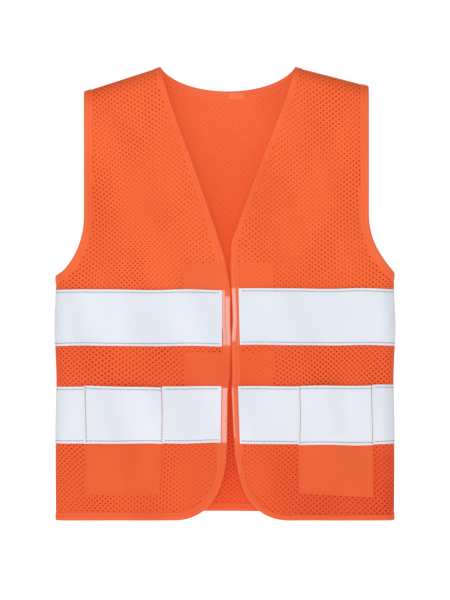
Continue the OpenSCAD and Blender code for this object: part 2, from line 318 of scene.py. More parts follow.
def corner_edge(side):
    """From the foot of the V down the front edge and round the corner to the hem."""
    corner_u = side.edge + side.flare
    straight = [(side.edge, BAND_TOPS["upper"]), (side.edge, side.flare_top)]
    corner = curve(
        (corner_u, CORNER_H - LENGTH),
        (corner_u, 0.36 * CORNER_H - LENGTH),
        (corner_u + 0.37 * CORNER_W, -LENGTH),
        (corner_u + CORNER_W, -LENGTH),
        40,
    )
    return mirrored(np.vstack([straight, corner]), side)


def back_neck_edge():
    """From the wearer's right shoulder seam to the left one."""
    right, left = (-RIGHT.neck, 0), (LEFT.neck, 0)
    dip = -BACK_NECK_DROP / 0.75
    return curve(right, (right[0] + NECK_HANDLE, dip), (left[0] - NECK_HANDLE, dip), left, 120)


def back_hem_edge():
    """From the wearer's right side seam to the left one."""
    mid = -LENGTH + HEM_RISE * 4 / 3
    x = HALF_CHEST
    return curve((-x, -LENGTH), (-x / 3, mid), (x / 3, mid), (x, -LENGTH), 60)


def rounded(points, passes=3):
    """Takes the corners off a polyline, keeping its ends."""
    points = np.asarray(points, float)
    for _ in range(passes):
        middle = (points[:-2] + 2 * points[1:-1] + points[2:]) / 4
        points = np.vstack([points[:1], middle, points[-1:]])
    return points


STEP = 1.8
BACK_NECK = resample(unroll(back_neck_edge()), STEP)
BACK_HEM = resample(unroll(back_hem_edge()), STEP)
# Sideways shifts of each front edge at these heights.
EDGE_HEIGHTS = (-150.0, -178.0, -225.0, -240.0, -270.0, -288.0, -330.0, -362.0)
EDGE_SHIFTS = {
    "right": (0.0, 0.4, 0.4, 0.9, 0.9, -0.5, 0.2, 0.0),
    "left": (0.0, -0.2, 1.4, 0.5, 0.3, -1.3, -1.4, 0.0),
}


def wander(side, t):
    """Sideways shift of a front edge, which is free between the tapes sewn across it."""
    shifts = EDGE_SHIFTS[side.name]
    total = np.zeros(np.shape(t))
    for k in range(1, len(shifts)):
        step = smooth(-t, -EDGE_HEIGHTS[k - 1], -EDGE_HEIGHTS[k])
        total = total + (shifts[k] - shifts[k - 1]) * step
    return total


for side in SIDES:
    side.armhole = resample(unroll(armhole_edge(side)), STEP)
    hem_corner = [(side.sign * SEAM_S, -LENGTH)]
    path = np.vstack([unroll(v_edge(side)), unroll(corner_edge(side)), hem_corner])
    side.front_edge = rounded(resample(path, STEP))
    side.front_edge[:, 0] += wander(side, side.front_edge[:, 1])

# ---------------------------------------------------------------- meshes


EDGE_ANGLE = 35
TUBE_ANGLE = 50
THREAD_ANGLE = 70


def piece(name, vertices, faces, material, smooth_angle=EDGE_ANGLE, layers=None):
    """A mesh object from points in millimetres, with per-vertex values for its material."""
    mesh = bpy.data.meshes.new(name)
    mesh.from_pydata((np.asarray(vertices) * MM).tolist(), [], faces)
    mesh.validate()
    mesh.shade_smooth()
    mesh.set_sharp_from_angle(angle=math.radians(smooth_angle))
    for key, values in (layers or {}).items():
        attribute = mesh.attributes.new(key, "FLOAT", "POINT")
        attribute.data.foreach_set("value", np.asarray(values, np.float32))
    mesh.materials.append(material)
    made = bpy.data.objects.new(name, mesh)
    bpy.context.scene.collection.objects.link(made)
    return made


def binding_share(side, t):
    """Width of a front's binding as a share of its full width: it is drawn narrow along the V."""
    if side is RIGHT:
        at_upper_tape = 0.1 * smooth(-t, 170, 178) * (1 - smooth(-t, 228, 236))
        at_lower_tape = 0.2 * smooth(-t, 280, 288) * (1 - smooth(-t, 342, 358))
        return 1 - 0.36 * smooth(t, -190, -75) + at_upper_tape + at_lower_tape
    narrow_corner = 0.33 * (1 - smooth(t, -350, -336))
    return 1 - 0.38 * smooth(t, -194, -150) - narrow_corner


def edge_loops(triangles):
    """Edges that belong to one triangle only, in that triangle's direction."""
    t = np.asarray(triangles)
    directed = np.vstack([t[:, [0, 1]], t[:, [1, 2]], t[:, [2, 0]]])
    key = np.sort(directed, axis=1)
    _, index, count = np.unique(key, axis=0, return_index=True, return_counts=True)
    return directed[index[count == 1]]


def signed_area(polygon):
    x, y = polygon[:, 0], polygon[:, 1]
    return 0.5 * (x @ np.roll(y, -1) - y @ np.roll(x, -1))


def inside(points, polygon):
    """Which points lie in a closed polygon."""
    x, y = points[:, 0][:, None], points[:, 1][:, None]
    a, b = polygon, np.roll(polygon, -1, axis=0)
    crosses = (a[:, 1] > y) != (b[:, 1] > y)
    with np.errstate(divide="ignore", invalid="ignore"):
        at = a[:, 0] + (y - a[:, 1]) * (b[:, 0] - a[:, 0]) / (b[:, 1] - a[:, 1])
    return np.count_nonzero(crosses & (x < at), axis=1) % 2 == 1


def distance(points, line):
    """Distance of each point from a polyline."""
    a, b = line[:-1], line[1:]
    d = b - a
    length = np.maximum((d**2).sum(1), 1e-12)
    best = np.full(len(points), 1e9)
    for k in range(0, len(points), 2000):
        p = points[k : k + 2000, None, :]
        t = np.clip(((p - a) * d).sum(2) / length, 0, 1)
        gap = np.linalg.norm(p - (a + t[..., None] * d), axis=2)
        best[k : k + 2000] = gap.min(1)
    return best


PITCH = 5.3
ROW = 2.15
HOLE_W = 1.5
HOLE_H = 1.35
RIM_POINTS = {FRONT: 6, BACK: 5}
BINDING_CLEAR = 0.9
SEAM_CLEAR = 2.4
WAIST = {FRONT: 0.26, BACK: 0.24}
CLOTH = 0.5
LATTICE_BEND = Waves(61, 300, 340, 4)
LATTICE_STRETCH = Waves(67, 170, 280, 4)
BEND = 1.8
STRETCH = 2.4
BEND_JITTER = 0.05
STRETCH_JITTER = 0.07
HOLE_SIZE = Waves(71, 70, 110, 6)
# Places where the knit is tighter: distance from the middle, height, and reach across and up.
TIGHT = ((62, -120, 34, 60), (30, -360, 24, 26))
SMALLEST_HOLE = 0.6
LARGEST_HOLE = 1.3
SHADE_OVER_PATCH = 0.12
INNER_SHADE = 0.7


def lattice(low, high):
    """Hole centres of the knit: staggered columns, with rows that bend as the cloth hangs."""
    rows = np.arange(math.floor(low[1] / ROW) - 8, math.ceil(high[1] / ROW) + 8)
    columns = np.arange(math.floor(low[0] / PITCH) - 4, math.ceil(high[0] / PITCH) + 4)
    row, column = np.meshgrid(rows, columns, indexing="ij")
    s = (column + 0.5 * (row % 2)).ravel() * PITCH
    t = row.ravel() * ROW
    rng = np.random.default_rng(5)
    bent = t + BEND * LATTICE_BEND(s, t) + rng.normal(0, BEND_JITTER, len(t))
    moved = s + STRETCH * LATTICE_STRETCH(s, t) + rng.normal(0, STRETCH_JITTER, len(s))
    return np.stack([moved, bent], axis=1)


def teardrop(count):
    """Rim points of a hole one unit wide and high: round above, narrowing below."""
    a = np.arange(count) * 2 * math.pi / count - math.pi / 2
    x = 0.5 * np.cos(a) * (1 + 0.25 * np.sin(a))
    return np.stack([x, 0.5 * np.sin(a)], axis=1)


def openness(s, t, face):
    """How open the knit is: most at the shoulders, the sides and between the bands."""
    u = np.abs(s)
    size = 1 + 0.08 * HOLE_SIZE(s, t + 300 * face)
    size = size + 0.14 * smooth(t, -60, 0) + 0.1 * smooth(u, 95, 125)
    between = BAND_TOPS["lower"] < t
    between = between & (t < BAND_TOPS["upper"] - BAND_W)
    size = size + 0.2 * between + 0.15 * smooth(-t, 330, 350) * smooth(s, 20, 100)
    for middle_u, middle_t, width, height in TIGHT:
        near = np.exp(-(((u - middle_u) / width) ** 2) - ((t - middle_t) / height) ** 2)
        size = size - 0.3 * near
    if face > 0:
        size = size - 0.05 * (1 - smooth(-t, 200, 260))
    return np.clip(size, SMALLEST_HOLE, LARGEST_HOLE)


def painted_shade(s, t):
    """Painted shade: the cloth is painted darker below the tapes and towards the wearer's left side and
    its side seam.
    """
    low = 0.24 * smooth(-t, 190, 235) + 0.14 * smooth(-t, 320, 350)
    left = 0.42 * smooth(-t, 320, 350) * smooth(s, 10, 90)
    edge = 0.12 * smooth(s, 112, SEAM_S) * smooth(-t, 180, 250)
    return low + left + edge


def hole_shade(s, t, face):
    """Painted shade in a hole: how dark its walls are painted, light where the cloth of a closure patch
    lies behind it.
    """
    shade = 0.85 + 0.15 * HOLE_SIZE(s + 500, t)
    if face < 0:
        for node in ("left_upper_patch", "left_lower_patch"):
            low, high = box_mm(node)
            behind = (low[0] < s) & (s < high[0]) & (low[2] < t) & (t < high[2])
            shade = np.where(behind, SHADE_OVER_PATCH, shade)
    return np.clip(shade, 0.1, 1)


def holed_cloth(name, outline, bound, sewn, face):
    """A knitted mesh cloth with every hole cut through it, narrowest halfway through the cloth.

    bound are the edges that a binding covers, with the side that sets its width, and sewn those
    that are sewn into a seam.
    """
    rim_count = RIM_POINTS[face]
    if signed_area(outline) < 0:
        outline = outline[::-1]
    centres = lattice(outline.min(0), outline.max(0))
    centres = centres[inside(centres, outline)]
    for line, side in bound:
        share = 1.0 if side is None else binding_share(side, centres[:, 1])
        centres = centres[distance(centres, line) > BINDING_W * share + BINDING_CLEAR]
    for line in sewn:
        centres = centres[distance(centres, line) > SEAM_CLEAR]
    rim = teardrop(rim_count)
    size = openness(centres[:, 0], centres[:, 1], face)[:, None, None]
    shade = hole_shade(centres[:, 0], centres[:, 1], face)
    reach = rim * np.array([HOLE_W, HOLE_H]) * size
    wide = (centres[:, None, :] + reach).reshape(-1, 2)
    depth = -centres[:, 1][:, None, None]
    closed = 0.5 * smooth(depth, LENGTH - 22, LENGTH - 14)
    if face > 0:
        closed = np.maximum(closed, 0.6 * smooth(depth, 270, 320))
    waist = (centres[:, None, :] + reach * WAIST[face] * (1 - closed)).reshape(-1, 2)
    edge_count = len(outline)
    flat = [Vector(p) for p in np.vstack([outline, wide])]
    rims = [list(range(k, k + rim_count)) for k in range(edge_count, len(flat), rim_count)]
    found = delaunay_2d_cdt(flat, [], [list(range(edge_count))] + rims, 1, 1e-6)
    kept = np.array([f for f, o in zip(found[2], found[5]) if tuple(o) == (0,)])
    used = np.unique(kept)
    renumber = np.full(len(found[0]), -1)
    renumber[used] = np.arange(len(used))
    kept = renumber[kept]
    source = np.array([found[3][k][0] for k in used])
    place = np.array([tuple(found[0][k]) for k in used])
    on_rim = source >= edge_count
    count = len(used)
    waist_index = np.full(count, -1)
    waist_index[on_rim] = 2 * count + np.arange(on_rim.sum())
    middle = waist[source[on_rim] - edge_count]
    points = [
        surface(place[:, 0], place[:, 1], 0, face),
        surface(place[:, 0], place[:, 1], -CLOTH, face),
        surface(middle[:, 0], middle[:, 1], -CLOTH / 2, face),
    ]
    edges = edge_loops(kept)
    rim_edge = on_rim[edges].all(axis=1)
    a, b = edges[rim_edge].T
    wa, wb = waist_index[a], waist_index[b]
    c, d = edges[~rim_edge].T
    walls = [
        np.stack([b, a, wa, wb], axis=1),
        np.stack([wb, wa, a + count, b + count], axis=1),
        np.stack([d, c, c + count, d + count], axis=1),
    ]
    faces = [kept, kept[:, ::-1] + count, *walls]
    if face > 0:
        faces = [f[:, ::-1] for f in faces]
    # Painted shade: the faces of the hole walls carry how dark they are painted, and the back's inner
    # walls are painted less dark higher up.
    wall = np.zeros(sum(len(f) for f in faces))
    each = shade[(source[a] - edge_count) // rim_count]
    inner = each
    if face > 0:
        inner = each * (INNER_SHADE + (1 - INNER_SHADE) * smooth(-place[a, 1], 240, 300))
    wall[2 * len(kept) : 2 * len(kept) + 2 * rim_edge.sum()] = np.r_[each, inner]
    faces = [f for group in faces for f in group.tolist()]
    # Painted shade for the knit, by its place on the pattern.
    shade_at = painted_shade(place[:, 0], place[:, 1])
    deep = np.r_[shade_at, shade_at, shade_at[on_rim]]
    backlit = np.zeros(count)
    # Painted light: the back panel is given more glow, standing in for light through the cloth, most of
    # all between the chest and the lower tape.
    if face > 0:
        depth = -place[:, 1]
        shaded = smooth(depth, 90, 160) * (1 - smooth(depth, 270, 320))
        backlit = 1 + 1.2 * shaded - 0.5 * smooth(depth, 270, 320)
    layers = {"deep": deep, "backlit": np.r_[backlit, backlit, backlit[on_rim]]}
    made = piece(name, np.vstack(points), faces, KNIT, layers=layers)
    attribute = made.data.attributes.new("hole", "FLOAT", "FACE")
    attribute.data.foreach_set("value", wall)
    print(name, "holes", len(centres), "triangles", sum(len(f) - 2 for f in faces))
    return made


def strip_grid(s_values, t_low, t_high, rows):
    """Pattern points of a strip, row by row, between two edges given as arrays."""
    k = np.linspace(0, 1, rows)[:, None]
    s = np.broadcast_to(s_values, (rows, len(s_values)))
    t = t_low + (t_high - t_low) * k
    return s, t


def slab(name, outer, inner, material, flip):
    """A closed slab from two grids of points, the outer and the inner side of a cloth."""
    rows, columns = outer.shape[:2]
    count = rows * columns
    index = np.arange(count).reshape(rows, columns)
    faces = []

    def quads(a, b, c, d):
        quad = np.stack([a, b, c, d], axis=-1).reshape(-1, 4)
        faces.extend((quad[:, ::-1] if flip else quad).tolist())

    quads(index[:-1, :-1], index[:-1, 1:], index[1:, 1:], index[1:, :-1])
    low = index + count
    quads(low[:-1, :-1], low[1:, :-1], low[1:, 1:], low[:-1, 1:])
    quads(index[0, 1:], index[0, :-1], low[0, :-1], low[0, 1:])
    quads(index[-1, :-1], index[-1, 1:], low[-1, 1:], low[-1, :-1])
    quads(index[:-1, 0], index[1:, 0], low[1:, 0], low[:-1, 0])
    quads(index[1:, -1], index[:-1, -1], low[:-1, -1], low[1:, -1])
    vertices = np.vstack([outer.reshape(-1, 3), inner.reshape(-1, 3)])
    return piece(name, vertices, faces, material)


def facing_flip(grid):
    """True where a grid's first quad faces +Y, so it has to be turned to face the front."""
    a = grid[0, 1] - grid[0, 0]
    b = grid[1, 0] - grid[0, 0]
    return np.cross(a, b)[1] > 0


def layer(name, s, t, lift, ply, face, material, toward=FRONT):
    """A layer of cloth, ply thick, over a grid of pattern points, with its outside toward a face."""
    out = surface(s, t, lift, face)
    under = surface(s, t, lift - ply, face)
    return slab(name, out, under, material, facing_flip(out) == (toward < 0))


def tube(name, points, material, layers=None, cap=True):
    """Rings of points joined into a closed tube, with flat ends or joined end to end."""
    count, around = points.shape[:2]
    index = np.arange(count * around).reshape(count, around)
    after = np.roll(index, -1, axis=1)
    ends = index[1:], after[1:]
    starts = index[:-1], after[:-1]
    if not cap:
        ends = np.roll(index, -1, axis=0), np.roll(after, -1, axis=0)
        starts = index, after
    quads = np.stack([starts[0], starts[1], ends[1], ends[0]], axis=-1).reshape(-1, 4)
    faces = quads.tolist()
    if cap:
        faces.append(index[0][::-1].tolist())
        faces.append(index[-1].tolist())
    made = piece(name, points.reshape(-1, 3), faces, material, TUBE_ANGLE, layers)
    if volume(made) < 0:
        made.data.flip_normals()
    return made


def volume(obj):
    """Signed volume, to see which way a closed mesh faces."""
    mesh = obj.data
    mesh.calc_loop_triangles()
    co = np.empty(len(mesh.vertices) * 3)
    mesh.vertices.foreach_get("co", co)
    co = co.reshape(-1, 3)
    tri = np.empty(len(mesh.loop_triangles) * 3, np.int32)
    mesh.loop_triangles.foreach_get("vertices", tri)
    a, b, c = (co[tri.reshape(-1, 3)[:, k]] for k in range(3))
    return np.einsum("ij,ij->i", a, np.cross(b, c)).sum() / 6


def inward_of(path, turn):
    """Unit directions across a path, to its left where turn is 1 and to its right where it is -1."""
    tangent = np.gradient(path, axis=0)
    tangent /= np.linalg.norm(tangent, axis=1)[:, None]
    across = turn * np.stack([-tangent[:, 1], tangent[:, 0]], axis=1)
    for end, near in ((0, 3), (-1, -4)):
        s, t = path[end]
        if abs(abs(s) - SEAM_S) < 0.5:
            across[end] = (0, np.sign(across[near][1]))
        elif t > -40 and abs(s) > 40:
            side = RIGHT if s < 0 else LEFT
            along = np.array([side.sign * math.cos(side.slope), -math.sin(side.slope)])
            across[end] = along * np.sign(along @ across[near])
    return across


# Kinds of stitch: pitch, length and thickness of thread.
TAPE_STITCH = (2.5, 1.9, 0.28)
POCKET_STITCH = (2.5, 1.45, 0.44)
POCKET_EDGE_STITCH = (2.5, 1.7, 0.2)
FRONT_STITCH = (2.9, 2.2, 0.18)
BINDING_STITCH = (2.9, 2.2, 0.13)
STITCH_JITTER = 0.12


def stitches(name, lines, material, kind):
    """Separate stitches along pattern lines. Each line is (points, lift, face)."""
    pitch, length, thread = kind
    vertices, faces = [], []
    rng = random.Random(name)
    profile = [(-0.5, 0.35, -0.9), (-0.42, 0.8, -0.2), (-0.2, 1.0, 0.25)]
    profile += [(-x, r, up) for x, r, up in reversed(profile)]
    around = 6
    for points, lift, face in lines:
        points = np.asarray(points, float)
        run = np.r_[0, np.cumsum(np.linalg.norm(np.diff(points, axis=0), axis=1))]
        count = int((run[-1] - 0.5) / pitch)
        if count < 1:
            continue
        spare = (run[-1] - count * pitch) / 2
        for k in range(count):
            middle = spare + (k + 0.5) * pitch + rng.uniform(-STITCH_JITTER, STITCH_JITTER)
            sway = rng.uniform(-STITCH_JITTER, STITCH_JITTER)
            base = len(vertices)
            at = [middle + x * length for x, _, _ in profile]
            line = np.stack([np.interp(at, run, points[:, i]) for i in (0, 1)], axis=1)
            tangent = line[-1] - line[0]
            tangent /= max(np.linalg.norm(tangent), 1e-9)
            across = np.array([-tangent[1], tangent[0]])
            for (x, r, up), p in zip(profile, line):
                for j in range(around):
                    angle = 2 * math.pi * j / around
                    q = p + across * (math.cos(angle) * r * thread + sway * (x + 0.5))
                    high = lift(q) if callable(lift) else lift
                    vertices.append((q[0], q[1], high + thread * (up + r * math.sin(angle)), face))
            for i in range(len(profile) - 1):
                for j in range(around):
                    a, b = base + i * around + j, base + i * around + (j + 1) % around
                    faces.append((a, b, b + around, a + around))
            faces.append(tuple(base + j for j in reversed(range(around))))
            last = base + (len(profile) - 1) * around
            faces.append(tuple(last + j for j in range(around)))
    v = np.array(vertices)
    points = surface(v[:, 0], v[:, 1], v[:, 2], v[:, 3])
    made = piece(name, points, faces, material, THREAD_ANGLE)
    if volume(made) < 0:
        made.data.flip_normals()
    return made


# ---------------------------------------------------------------- materials


# Painted glow: a constant emission that lifts the shade of the cloth.
PAINTED_GLOW = 0.24


class Nodes:
    """A small helper for building a material's node tree."""

    def __init__(self, name):
        self.material = bpy.data.materials.new(name)
        self.material.use_nodes = True
        self.tree = self.material.node_tree
        self.shader = self.tree.nodes["Principled BSDF"]

    def add(self, kind, inputs=None, **settings):
        node = self.tree.nodes.new(kind)
        for key, value in settings.items():
            setattr(node, key, value)
        for key, value in (inputs or {}).items():
            self.put(node.inputs[key], value)
        return node

    def put(self, socket, value):
        if isinstance(value, bpy.types.NodeSocket):
            self.tree.links.new(value, socket)
        else:
            socket.default_value = value

    def set(self, **inputs):
        for key, value in inputs.items():
            self.put(self.shader.inputs[key.replace("_", " ")], value)

    def position(self):
        return self.add("ShaderNodeTexCoord").outputs["Object"]

    def noise(self, scale, detail=2.0):
        node = self.add("ShaderNodeTexNoise", {"Scale": scale, "Detail": detail})
        self.put(node.inputs["Vector"], self.position())
        return node.outputs["Fac"]

    def wave(self, scale, direction, distortion=0.0):
        node = self.add(
            "ShaderNodeTexWave",
            {"Vector": self.position(), "Scale": scale, "Distortion": distortion},
            wave_type="BANDS",
            bands_direction=direction,
        )
        return node.outputs["Fac"]

    def math(self, operation, a, b=0.0, c=None):
        node = self.add("ShaderNodeMath", operation=operation)
        self.put(node.inputs[0], a)
        self.put(node.inputs[1], b)
        if c is not None:
            self.put(node.inputs[2], c)
        return node.outputs[0]

    def remap(self, value, low, high, to_low=0.0, to_high=1.0):
        node = self.add(
            "ShaderNodeMapRange",
            {"From Min": low, "From Max": high, "To Min": to_low, "To Max": to_high},
        )
        self.put(node.inputs["Value"], value)
        return node.outputs["Result"]

    def mix(self, factor, a, b):
        node = self.add("ShaderNodeMix", data_type="RGBA")
        self.put(node.inputs["Factor"], factor)
        self.put(node.inputs["A"], a)
        self.put(node.inputs["B"], b)
        return node.outputs["Result"]

    def patchy(self, scale, detail, a, b):
        """A base colour that drifts between a and b."""
        return self.mix(self.remap(self.noise(scale, detail), 0.3, 0.7), a, b)

    def less(self, value, low, high, share, base, colour):
        """base, with a share of colour where value is low that fades out where it is high."""
        return self.mix(self.remap(value, low, high, share, 0.0), base, colour)

    def low_down(self, high, low):
        """0 above the height high and 1 below low, both in mm."""
        node = self.add("ShaderNodeSeparateXYZ", {"Vector": self.position()})
        return self.remap(node.outputs["Z"], high * MM, low * MM)

    def attribute(self, name):
        return self.add("ShaderNodeAttribute", attribute_name=name).outputs["Fac"]

    def painted_glow(self, colour, strength=PAINTED_GLOW):
        """Painted glow: the cloth gives out a constant share of the colour whatever the lamps, standing
        in for its fluorescent dye and lifting its shade.
        """
        self.set(Emission_Color=colour, Emission_Strength=strength)

    def bump(self, height, strength, distance_mm):
        inputs = {"Height": height, "Strength": strength, "Distance": distance_mm * MM}
        node = self.add("ShaderNodeBump", inputs)
        self.put(self.shader.inputs["Normal"], node.outputs["Normal"])


RIB = 1.1
# Painted light: extra glow on the back panel, standing in for light through the cloth.
PAINTED_THROUGH_LIGHT = 0.055


def srgb(r, g, b):
    """A colour given in 0 to 255 display values, as the shader's linear values."""
    linear = [
        c / 12.92 if c <= 0.04045 else ((c + 0.055) / 1.055) ** 2.4
        for c in (r / 255, g / 255, b / 255)
    ]
    return (*linear, 1.0)


def knit_material():
    n = Nodes("knitted_mesh")
    base = n.patchy(9.0, 2.0, srgb(219, 91, 43), srgb(224, 96, 48))
    wales = n.wave(350.0, "X", 0.6)
    courses = n.wave(300.0, "Z", 0.8)
    fibre = n.noise(2600.0)
    yarn = n.math("MULTIPLY_ADD", wales, 0.6, n.math("MULTIPLY", courses, 0.25))
    base = n.less(yarn, 0.1, 0.8, 0.16, base, srgb(205, 62, 26))
    base = n.less(fibre, 0.35, 0.65, 0.10, base, srgb(210, 70, 30))
    # Painted shade: darker below the tapes and towards the wearer's left side.
    base = n.mix(n.math("MULTIPLY", n.attribute("deep"), 0.7), base, srgb(190, 54, 24))
    # Painted shade in the holes: their walls are painted dark red.
    dark = n.remap(n.attribute("hole"), 0.0, 1.0)
    base = n.mix(n.math("MULTIPLY", dark, 0.95), base, srgb(168, 22, 6))
    # Painted glow, with more painted light on the back panel.
    n.painted_glow(base, n.math("MULTIPLY_ADD", n.attribute("backlit"), PAINTED_THROUGH_LIGHT, PAINTED_GLOW))
    open_cloth = n.math("SUBTRACT", 1.0, dark)
    n.set(Base_Color=base, Roughness=0.72, Sheen_Roughness=0.5, Sheen_Tint=srgb(255, 190, 150))
    n.set(Sheen_Weight=n.math("MULTIPLY", open_cloth, 0.12))
    n.set(Specular_IOR_Level=n.math("MULTIPLY", open_cloth, 0.25))
    n.bump(n.math("MULTIPLY_ADD", fibre, 0.3, yarn), 0.5, 0.18)
    return n.material


def plain_material(name, light, dark, thread=420.0, strength=0.45, roughness=0.62, shade_below_chest=0.0):
    """A plain woven cloth of fine yarn. Its last argument is how much painted shade darkens it below
    the chest.
    """
    n = Nodes(name)
    base = n.patchy(14.0, 3.0, dark, light)
    warp = n.wave(thread, "X", 0.4)
    weft = n.wave(thread * 0.9, "Z", 0.4)
    weave = n.math("MULTIPLY", warp, weft)
    deep = srgb(190, 60, 28)
    base = n.less(weave, 0.0, 0.6, 0.14, base, deep)
    # Painted shade: the cloth is painted darker below the chest.
    base = n.mix(n.math("MULTIPLY", n.low_down(-240, -265), 0.2 * shade_below_chest), base, deep)
    fibre = n.noise(3200.0)
    # Painted glow that lifts the cloth's shade.
    n.painted_glow(base)
    n.set(Base_Color=base, Roughness=roughness, Sheen_Weight=0.1, Sheen_Roughness=0.5)
    n.set(Sheen_Tint=srgb(255, 190, 150), Specular_IOR_Level=0.3)
    n.bump(n.math("MULTIPLY_ADD", fibre, 0.25, weave), strength, 0.12)
    return n.material


def binding_material():
    """A sheer ribbed tape. Where it covers the reflective tape it looks paler."""
    n = Nodes("binding_tape")
    base = n.patchy(20.0, 3.0, srgb(218, 92, 44), srgb(223, 97, 49))
    # Painted shade: the binding is painted darker towards the bottom, most at its lowest part.
    corner = n.math("MULTIPLY", n.low_down(-300, -350), 0.16)
    low = n.math("MULTIPLY_ADD", n.low_down(-215, -265), 0.12, corner)
    base = n.mix(low, base, srgb(196, 66, 32))
    pale = n.remap(n.attribute("pale"), 0.0, 1.0, 0.0, 0.75)
    base = n.mix(pale, base, srgb(220, 172, 160))
    # Painted shade along the stitch groove.
    base = n.mix(n.math("MULTIPLY", n.attribute("groove"), 0.12), base, srgb(206, 66, 32))
    ribs = n.math("SINE", n.math("MULTIPLY", n.attribute("run"), 2 * math.pi / RIB))
    base = n.less(ribs, -1.0, 1.0, 0.12, base, srgb(200, 62, 28))
    fibre = n.noise(3000.0)
    n.set(Base_Color=base, Roughness=0.6, Sheen_Weight=0.12, Sheen_Roughness=0.4)
    n.set(Sheen_Tint=srgb(255, 200, 170), Specular_IOR_Level=0.3)
    # Painted glow that lifts the binding's shade.
    n.painted_glow(base)
    n.bump(n.math("MULTIPLY_ADD", fibre, 0.4, ribs), 0.4, 0.06)
    return n.material


def tape_material():
    """Reflective tape: a fine silver-grey weave of glass beads on a woven backing."""
    n = Nodes("reflective_tape")
    base = n.patchy(16.0, 3.0, srgb(226, 231, 240), srgb(230, 235, 243))
    warp = n.wave(520.0, "X", 0.3)
    weft = n.wave(520.0, "Z", 0.3)
    weave = n.math("MULTIPLY", warp, weft)
    beads = n.noise(5200.0)
    base = n.less(weave, 0.0, 0.7, 0.10, base, srgb(200, 206, 216))
    base = n.less(beads, 0.35, 0.7, 0.08, base, srgb(170, 176, 190))
    n.set(Base_Color=base, Roughness=0.6, Metallic=0.0, Specular_IOR_Level=0.25)
    n.bump(n.math("MULTIPLY_ADD", beads, 0.5, weave), 0.35, 0.06)
    return n.material


def thread_material(name, light, dark):
    n = Nodes(name)
    twist = n.wave(1400.0, "DIAGONAL", 0.5)
    cloud = n.noise(120.0)
    base = n.mix(n.remap(twist, 0.2, 0.8), dark, light)
    base = n.less(cloud, 0.35, 0.65, 0.25, base, dark)
    n.set(Base_Color=base, Roughness=0.5, Sheen_Weight=0.1, Specular_IOR_Level=0.35)
    n.bump(twist, 0.5, 0.05)
    return n.material


KNIT = knit_material()
BINDING = binding_material()
PLAIN = plain_material("plain_pocket_cloth", srgb(214, 87, 37), srgb(209, 83, 33))
PATCH = plain_material("closure_patch", srgb(224, 95, 48), srgb(219, 91, 45), 500.0, 0.6, 0.7, 1.6)
LABEL = plain_material("blank_label", srgb(230, 108, 60), srgb(226, 103, 56), 600.0, 0.3, 0.5)
TAPE = tape_material()
GREY_THREAD = thread_material("grey_thread", srgb(104, 102, 114), srgb(70, 68, 82))
ORANGE_THREAD = thread_material("orange_thread", srgb(198, 72, 34), srgb(150, 44, 20))
BINDING_THREAD = thread_material("binding_thread", srgb(216, 84, 42), srgb(200, 74, 36))


def settle(obj, place, *nodes):
    """Attaches a piece to the body it moves with and hides the CAD nodes it stands for.

    place is a body, or a side for a piece that crosses that side's fold line; such a piece only has its
    transform baked and is not attached.
    """
    if isinstance(place, Side):
        top = np.array([place.sign * place.neck, place.foot(place.neck)])
        foot = np.array([place.sign * FLAT_HALF, -LENGTH])
        along = (foot - top) / np.linalg.norm(foot - top)
        across = place.sign * np.array([-along[1], along[0]])
        if across[0] * place.sign > 0:
            across = -across
        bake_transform(obj)
    else:
        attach(obj, place)
    if nodes:
        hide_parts(*nodes)


# ---------------------------------------------------------------- mesh cloth

INSET = 0.7
SEAM_STEP = 3.0
SEAM_MARGIN = 0.03


def inset(path, turn):
    """An outline moved in from its edge, so that the binding covers it."""
    return path + inward_of(path, turn) * INSET


def seam_line(a, b):
    """Points of a seam between two corners, without the corners."""
    return resample([a, b], SEAM_STEP)[1:-1]


def clip_seams(points):
    """Keeps outline points on the cloth side of the shoulder and side seams."""
    points = np.array(points)
    limit = SEAM_S - SEAM_MARGIN
    points[:, 0] = np.clip(points[:, 0], -limit, limit)
    for side in SIDES:
        mine = np.sign(points[:, 0]) == side.sign
        u = np.abs(points[:, 0])
        over = (points[:, 1] - side.foot(u)) * math.cos(side.slope)
        extra = np.maximum(over - (RADIUS * math.pi / 2 - SEAM_MARGIN), 0) * mine
        points[:, 0] -= side.sign * math.sin(side.slope) * extra
        points[:, 1] -= math.cos(side.slope) * extra
    return points


for side in SIDES:
    edge_in = inset(side.front_edge, side.sign)
    arm_in = inset(side.armhole, -side.sign)
    shoulder = seam_line(edge_in[0], arm_in[0])
    seam = seam_line(arm_in[-1], edge_in[-1])
    side.outline = clip_seams(np.vstack([edge_in[::-1], shoulder, arm_in, seam]))
    bound = [(side.front_edge, side), (side.armhole, None)]
    cloth = holed_cloth(f"{side.name}_front_mesh", side.outline, bound, [shoulder, seam], FRONT)
    settle(cloth, side, f"{side.name}_front_panel", f"{side.name}_side_panel")

neck_in = inset(BACK_NECK, -1)
hem_in = inset(BACK_HEM, 1)
right_arm, left_arm = (inset(s.armhole, -s.sign) for s in SIDES)
right_shoulder = seam_line(right_arm[0], neck_in[0])
left_shoulder = seam_line(neck_in[-1], left_arm[0])
right_seam = seam_line(hem_in[0], right_arm[-1])
left_seam = seam_line(left_arm[-1], hem_in[-1])
left_half = [left_shoulder, left_arm, left_seam]
right_half = [right_seam, right_arm[::-1], right_shoulder]
back_outline = clip_seams(np.vstack([neck_in, *left_half, hem_in[::-1], *right_half]))
bound = [(line, None) for line in (BACK_NECK, BACK_HEM, RIGHT.armhole, LEFT.armhole)]
sewn = [right_shoulder, left_shoulder, right_seam, left_seam]
settle(holed_cloth("back_mesh", back_outline, bound, sewn, BACK), "back", "back_panel")

# ---------------------------------------------------------------- bindings

BINDING_LIFT = 0.55
GROOVE = 4.3


